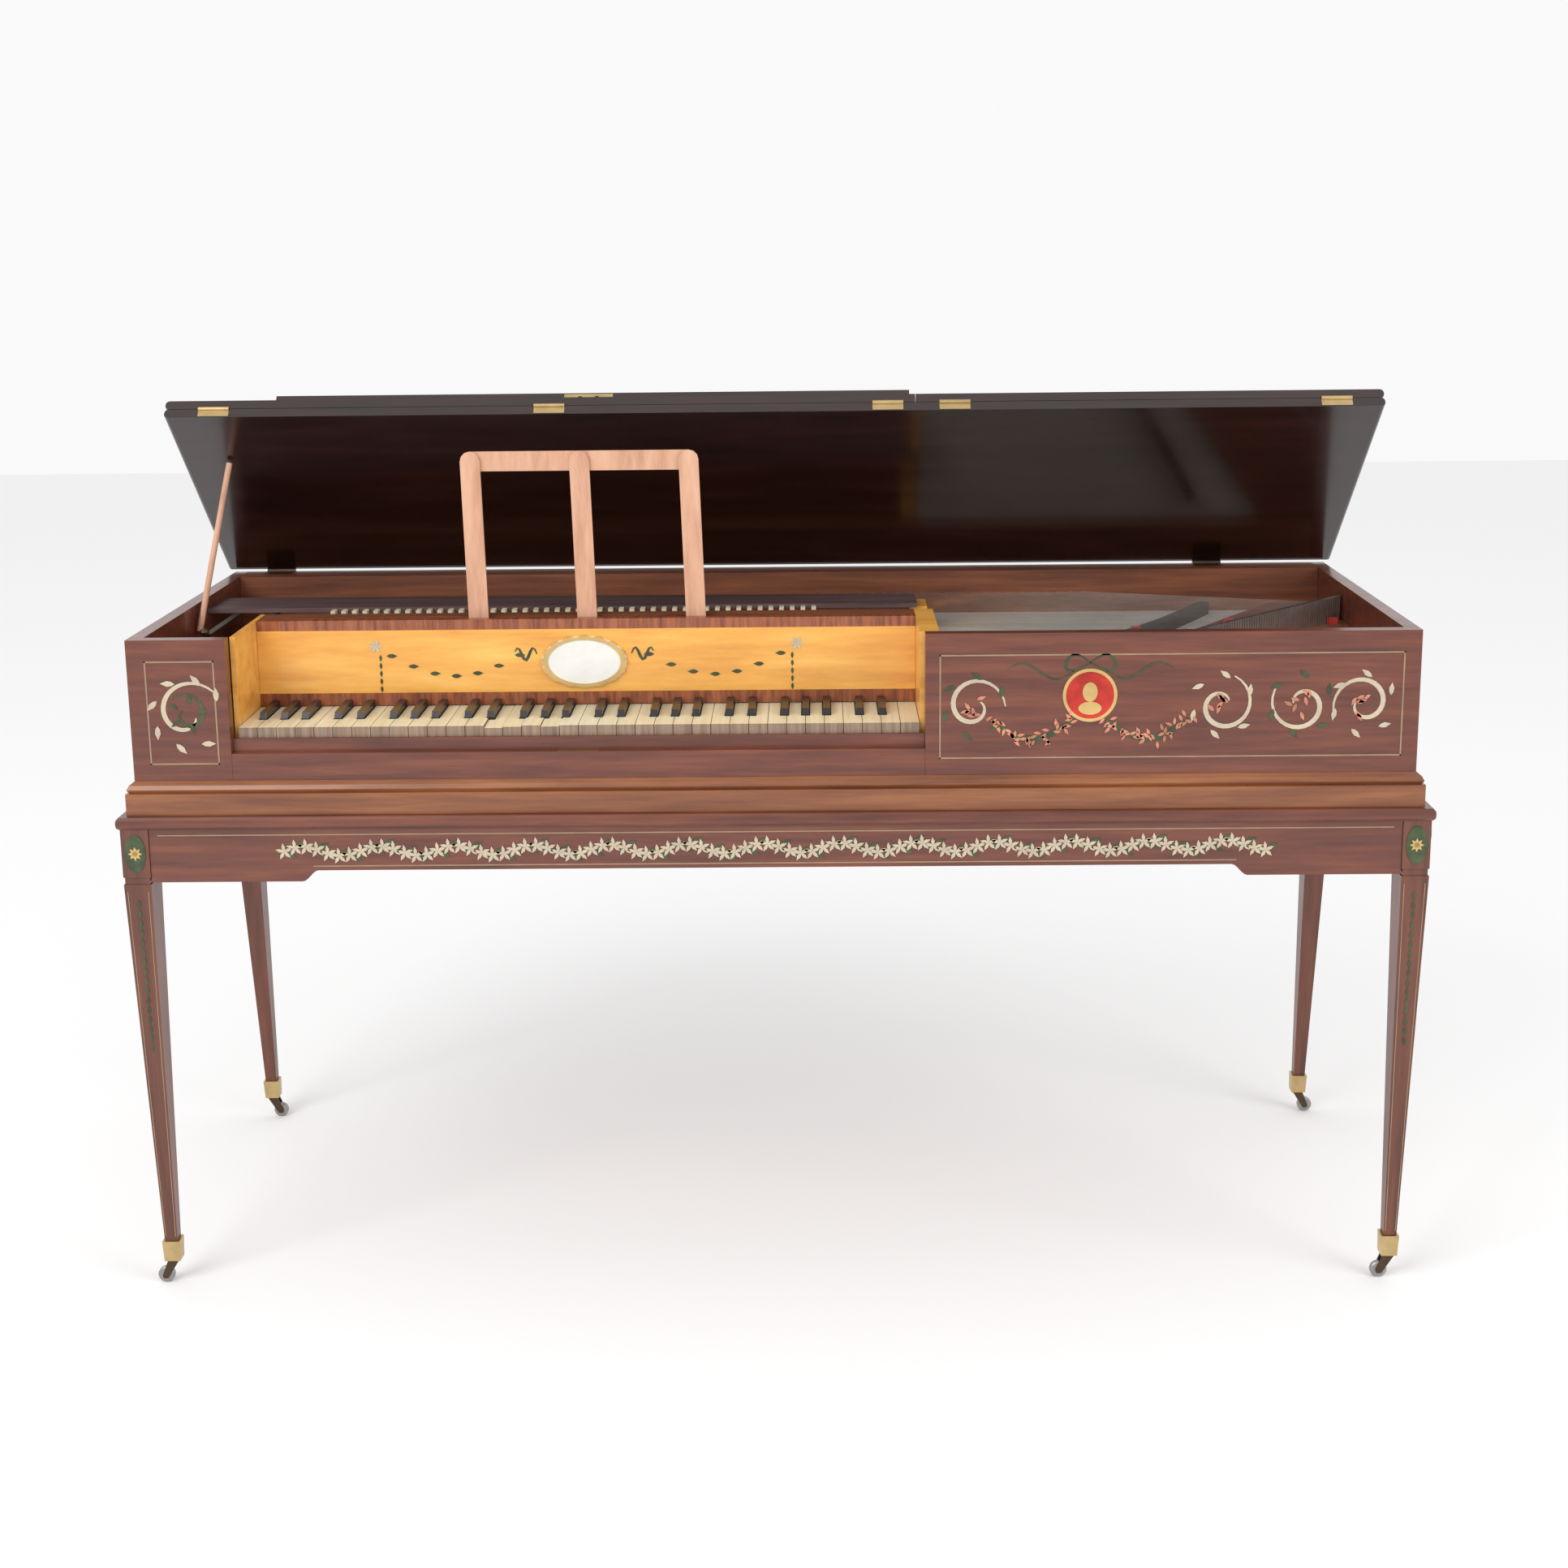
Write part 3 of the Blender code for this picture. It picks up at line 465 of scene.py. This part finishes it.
def leaves(name, places, look, y, layer=1.5):
    """Flat leaves or petals on a face at y that looks to the front, each (x, z, length, angle)."""
    level = y - LIFT * layer
    verts = []
    faces = []
    for place in places:
        outline = leaf(*place)
        faces.append(tuple(len(verts) + k for k in range(len(outline))))
        verts += [(x, level, z) for x, z in outline]
    add_mesh(name, verts, faces, look)


def around(cx, cz, radius, angles, length, turn=0.0):
    """Leaves on a circle, each turned by the same angle from its spoke."""
    return [(cx + radius * math.cos(a), cz + radius * math.sin(a), length, a + turn) for a in angles]


def build_left_panel():
    """A wreath of two scrolls on the left front panel."""
    y = depth(0)
    cx, cz = LEFT_WREATH[0], height(LEFT_WREATH[1])
    ribbon("left_scroll_outer", spiral(cx, cz, 0.045, 0.85, 0.5, 1), 0.006, "cream_paint", y)
    ribbon("left_scroll_inner", spiral(cx, cz, 0.027, 1.0, 2.4, -1), 0.005, "green_paint", y)
    outer = around(cx, cz, 0.04, (0.4, 1.1, 1.9, 2.7, 3.5, 4.3, 5.1), 0.018, 1.2)
    leaves("left_scroll_leaves", outer, "cream_paint", y)
    inner = around(cx, cz, 0.012, (0.2, 1.4, 2.6, 3.8, 5.0), 0.014)
    leaves("left_scroll_greens", inner, "green_paint", y)


def build_medallion():
    """Round medallion with a plain bust, its bow and its swag of roses."""
    y = depth(0)
    cx, cz = MEDALLION[0], height(MEDALLION[1])
    disc("medallion_rim", cx, cz, 0.033, 0.033, "gold_paint", y, 2.0)
    disc("medallion_ground", cx, cz, 0.029, 0.029, "red_felt", y, 2.6)
    disc("medallion_head", cx, cz + 0.004, 0.009, 0.012, "gold_paint", y, 3.2)
    disc("medallion_bust", cx, cz - 0.016, 0.014, 0.008, "gold_paint", y, 3.2)
    for side in (-1, 1):
        loop = []
        for t in range(11):
            out = 0.022 * math.sin(math.pi * t / 10) * (1 + t / 14)
            loop.append((cx + side * out, cz + 0.040 + 0.010 * math.sin(2 * math.pi * t / 10)))
        ribbon(f"bow_{side + 1}", loop, 0.004, "green_paint", y)
        tail = []
        swag = []
        for t in range(13):
            tail.append((cx + side * (0.02 + 0.08 * t / 12), cz + 0.030 - 0.010 * math.sin(t / 2)))
            swag.append((cx + side * (0.02 + 0.10 * t / 12), cz - 0.030 - 0.024 * math.sin(math.pi * t / 12)))
        ribbon(f"bow_tail_{side + 1}", tail, 0.003, "green_paint", y)
        ribbon(f"swag_{side + 1}", swag, 0.009, "green_paint", y)
        turned = [(x, z, random.uniform(0, 6.28)) for x, z in swag for _ in range(3)]
        roses = []
        for x, z, angle in turned:
            rose_x = x + random.uniform(-0.006, 0.006)
            roses.append((rose_x, z + random.uniform(-0.005, 0.005), 0.010, angle))
        leaves(f"swag_roses_{side + 1}", roses, "rose_paint", y, 2.2)


def build_right_panel():
    """Medallion and scrolls with leaves and flowers on the right front panel."""
    y = depth(0)
    random.seed(3)
    build_medallion()
    cz = height(SCROLL_DROP)
    for k, (cx, way) in enumerate(SCROLLS):
        ribbon(f"right_scroll_{k}", spiral(cx, cz, 0.038, 1.1, 1.2 * k, way), 0.006, "cream_paint", y)
        outer = around(cx, cz, 0.034, (0.3, 1.3, 2.3, 3.3, 4.3, 5.3), 0.016, 1.2)
        leaves(f"right_scroll_leaves_{k}", outer, "cream_paint" if k % 2 else "green_paint", y)
        flowers = []
        for _ in range(7):
            x = cx + random.uniform(-0.012, 0.012)
            z = cz + random.uniform(-0.012, 0.012)
            flowers.append((x, z, 0.012, random.uniform(0, 6.28)))
        leaves(f"right_scroll_flowers_{k}", flowers, "rose_paint", y, 2.2)


def build_frieze_paint():
    """Two lines and a band of pale flowers on the stand's frieze, and rosettes on the leg blocks."""
    y = depth(FRIEZE_DEPTH)
    top = height(FRIEZE_DROP)
    flowers = []
    greens = []
    for k in range(FLOWER_COUNT):
        x = -FLOWER_REACH + 2 * FLOWER_REACH * k / (FLOWER_COUNT - 1)
        z = top - 0.030 + 0.006 * math.sin(k * 0.9)
        flowers += around(x, z, 0.0, (0.4, 1.7, 2.9, 4.2, 5.5), 0.011)
        greens.append((x, z, 0.018, 0.5 if k % 2 else -0.5))
    leaves("frieze_greens", greens, "green_paint", y)
    leaves("frieze_flowers", flowers, "cream_paint", y, 2.2)
    lines = []
    for x0, x1, drop in FRIEZE_LINES:
        lines.append(((x0, y - LIFT, top - drop - FRIEZE_LINE_WIDTH), (x1, y + LIFT, top - drop)))
    boxes("frieze_lines", lines, "stringing")
    y = depth(LEG_FRONT)
    for side, name in ((-1, "left"), (1, "right")):
        x, z = side * ROSETTE[0], height(ROSETTE[1])
        disc(f"{name}_rosette_ground", x, z, 0.013, 0.024, "green_paint", y, 2.0)
        leaves(f"{name}_rosette", around(x, z, 0.0, circle_angles(8), 0.009), "gold_paint", y, 3.0)


def build_plaque_rim():
    """Waved rim around the name plaque."""
    cx, cz = PLAQUE[0], height(PLAQUE[1])
    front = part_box("name_plaque")[0][1]
    steps = 60
    verts = []
    faces = []
    for a in circle_angles(steps):
        outer = 1 + 0.03 * math.cos(16 * a)
        inner = 0.86
        for r, behind in ((outer, -0.0012), (inner, -0.0012), (outer, 0.001), (inner, 0.0001)):
            x = cx + PLAQUE_HALF[0] * r * math.cos(a)
            verts.append((x, front + behind, cz + PLAQUE_HALF[1] * r * math.sin(a)))
    for k in range(steps):
        a = 4 * k
        b = 4 * ((k + 1) % steps)
        faces += [(a, b, b + 1, a + 1), (a + 2, b + 2, b, a), (a + 1, b + 1, b + 3, a + 3)]
    add_mesh("plaque_rim", verts, faces, "gold_paint")


def build_nameboard_inlay():
    """A flower, husks and a ribbon's tail on either side of the name plaque."""
    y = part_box("nameboard")[0][1]
    cx, cz = PLAQUE[0], height(PLAQUE[1])
    for side, start in ((-1, -0.505), (1, 0.030)):
        petals = around(start, height(0.035), 0.0, circle_angles(6), 0.010)
        leaves(f"name_flower_{side + 1}", petals, "cream_paint", y)
        husks = []
        reach = cx + side * 0.075
        for k in range(7):
            t = (k + 0.5) / 7
            x = start + (reach - start) * t
            z = height(0.040) - 0.034 * math.sin(math.pi * t)
            husks.append((x, z, 0.014, 0.0 if side < 0 else math.pi))
        leaves(f"name_husks_{side + 1}", husks, "green_paint", y)
        x = start - side * 0.006
        drops = [(x, height(0.046 + 0.010 * k), 0.009, -math.pi / 2) for k in range(5)]
        leaves(f"name_drop_{side + 1}", drops, "green_paint", y)
        tail = []
        for t in range(11):
            tail.append((cx + side * (0.060 + 0.028 * t / 10), cz + 0.010 + 0.008 * math.sin(t * 0.9)))
        ribbon(f"name_bow_{side + 1}", tail, 0.004, "green_paint", y)


def build_strings():
    """Tuning pins in pairs, with a string from the first of each pair to the back."""
    pins = []
    strings = []
    top = height(0.015)
    low = height(0.050)
    for k in range(PIN_PAIRS):
        t = k / (PIN_PAIRS - 1)
        for second in (0, 1):
            x = PIN_START[0] + PIN_RUN[0] * t + 0.006 * second
            y = depth(PIN_START[1] + PIN_RUN[1] * t + 0.010 * second)
            pins.append(((x, y, low), (x, y, top)))
            if not second:
                strings.append(((x, y, top - 0.010), (-0.62 + 1.05 * t, depth(0.470), height(0.030))))
    rods("tuning_pins", pins, 0.0022, "steel", 8)
    rods("strings", strings, 0.0002, "steel", 4)


def build_rows():
    """Damper tips in front of the dust board and red listing pads."""
    tips = []
    for k in range(46):
        x = -0.595 + 0.0143 * k
        tips.append(((x, depth(0.288), height(0.026)), (x + 0.006, depth(0.303), height(0.017))))
    boxes("damper_tips", tips, "pale_ivory")
    pads = []
    for x, y in ((0.470, 0.250), (0.600, 0.300), (0.690, 0.330), (0.740, 0.300)):
        pads.append(((x, depth(y), height(0.048)), (x + 0.012, depth(y + 0.006), height(0.040))))
    boxes("listing_pads", pads, "red_felt")


def build_hitch_pins():
    """A row of short pins along the back wall."""
    pins = []
    for k in range(23):
        x = -0.620 + 0.0147 * k
        pins.append(((x, depth(0.5085), height(0.023)), (x, depth(0.5055), height(0.023))))
    rods("hitch_pins", pins, 0.0016, "steel", 8)


def build_catch_plate():
    """Brass plate let into the low front rail under the lock."""
    rail_top = height(0.142)
    low = (-0.262, depth(0.0012), rail_top - 0.001)
    boxes("catch_plate", [(low, (-0.212, depth(0.0095), rail_top + 0.0001))], "brass")


def build_bolt_cover(name, side, y):
    """Oval domed cover on the outer side of a leg block."""
    steps = 24
    rings = ((0.0, 1.0), (0.003, 0.95), (0.0045, 0.6), (0.005, 0.0))
    verts = []
    for out, size in rings:
        for a in circle_angles(steps):
            z = height(BOLT_DROP) + 0.018 * size * math.sin(a)
            verts.append((side * BLOCK_SIDE + side * out, y + 0.013 * size * math.cos(a), z))
    faces = []
    for start in range(0, (len(rings) - 1) * steps, steps):
        for k in range(steps):
            n = (k + 1) % steps
            faces.append((start + k, start + n, start + steps + n, start + steps + k))
    add_mesh(name, verts, faces, "dark_bronze")


def leg_width(drop):
    """Width of a tapered leg at a drop below the case's top."""
    return LEG_TOP_WIDTH + (LEG_FOOT_WIDTH - LEG_TOP_WIDTH) * (drop - TAPER_DROP) / TAPER_LENGTH


def build_leg_paint():
    """A trail of husks and two thin lines down the front of each front leg."""
    y = depth(LEG_FRONT)
    line_start = 0.312
    line_end = 0.770
    for side, name in ((-1, "left"), (1, "right")):
        husks = []
        for k in range(16):
            drop = line_start + 0.010 + 0.0125 * k
            x = side * (LEG_INNER + 0.5 * leg_width(drop))
            husks.append((x, height(drop), 0.012, -math.pi / 2))
        leaves(f"{name}_leg_husks", husks, "green_paint", y)
        verts = []
        for inset in (0.12, 0.88):
            for drop in (line_start, line_end):
                x = side * (LEG_INNER + leg_width(drop) * inset)
                verts += [(x - 0.0005, y - LIFT, height(drop)), (x + 0.0005, y - LIFT, height(drop))]
        add_mesh(f"{name}_leg_lines", verts, [(0, 1, 3, 2), (4, 5, 7, 6)], "stringing")


# Studio: floor, light and camera


def build_stage():
    """White floor under an even white sky, with a large soft light on each side."""
    white, _, shader = new_material("studio_white")
    shader.inputs["Base Color"].default_value = (0.9, 0.9, 0.9, 1.0)
    shader.inputs["Roughness"].default_value = 0.9
    reach = 9
    mesh = bpy.data.meshes.new("floor")
    corners = [(-reach, -reach, 0), (reach, -reach, 0), (reach, reach, 0), (-reach, reach, 0)]
    mesh.from_pydata(corners, [], [(0, 1, 2, 3)])
    floor = bpy.data.objects.new("floor", mesh)
    mesh.materials.append(white)
    bpy.context.collection.objects.link(floor)
    world = bpy.data.worlds.new("studio")
    world.use_nodes = True
    background = world.node_tree.nodes["Background"]
    background.inputs["Color"].default_value = (1.0, 1.0, 1.0, 1.0)
    background.inputs["Strength"].default_value = 0.95
    bpy.context.scene.world = world
    target = Vector((0, 0, 0.7))
    lights = (("key_light", (-2.5, -3.0, 3.2), 2.5, 90), ("fill_light", (3.2, -2.2, 2.4), 2.0, 45))
    for name, place, size, power in lights:
        light = bpy.data.lights.new(name, "AREA")
        light.energy = power
        light.size = size
        made = bpy.data.objects.new(name, light)
        made.location = place
        made.rotation_euler = (target - Vector(place)).to_track_quat("-Z", "Y").to_euler()
        bpy.context.collection.objects.link(made)


def build_camera():
    """The photograph's camera: place, turn, lens and the picture's middle, in pixels of its side."""
    side_px = 1932.0
    focal_px = 2707.8
    middle_y_px = 841.27
    yaw = math.radians(0.842)
    pitch = math.radians(11.985)
    roll = math.radians(-0.642)
    turn_y = Matrix(((math.cos(yaw), 0, math.sin(yaw)), (0, 1, 0), (-math.sin(yaw), 0, math.cos(yaw))))
    turn_x = Matrix(((1, 0, 0), (0, math.cos(pitch), -math.sin(pitch)), (0, math.sin(pitch), math.cos(pitch))))
    turn_z = Matrix(((math.cos(roll), -math.sin(roll), 0), (math.sin(roll), math.cos(roll), 0), (0, 0, 1)))
    base = Matrix(((1, 0, 0), (0, 0, -1), (0, 1, 0)))
    rows = turn_z @ turn_x @ turn_y @ base
    facing = Matrix((rows[0], -rows[1], -rows[2])).transposed().to_4x4()
    data = bpy.data.cameras.new("camera")
    data.sensor_width = 36.0
    data.lens = focal_px * data.sensor_width / side_px
    data.shift_y = (middle_y_px - side_px / 2) / side_px
    camera = bpy.data.objects.new("camera", data)
    camera.matrix_world = Matrix.Translation((0.0533, CASE_FRONT - 2.6007, CASE_TOP + 0.4935)) @ facing
    bpy.context.collection.objects.link(camera)
    bpy.context.scene.camera = camera
    bpy.context.scene.view_settings.view_transform = "Standard"


dress_nodes()
border("left_panel_line", LEFT_BORDER)
border("right_panel_line", RIGHT_BORDER)
build_left_panel()
build_right_panel()
build_frieze_paint()
build_plaque_rim()
build_nameboard_inlay()
build_strings()
build_rows()
build_catch_plate()
for side, name in ((-1, "left"), (1, "right")):
    build_bolt_cover(f"{name}_front_bolt_cover", side, depth(0.005))
    build_bolt_cover(f"{name}_rear_bolt_cover", side, depth(0.506))
build_leg_paint()
build_hitch_pins()
build_stage()
build_camera()
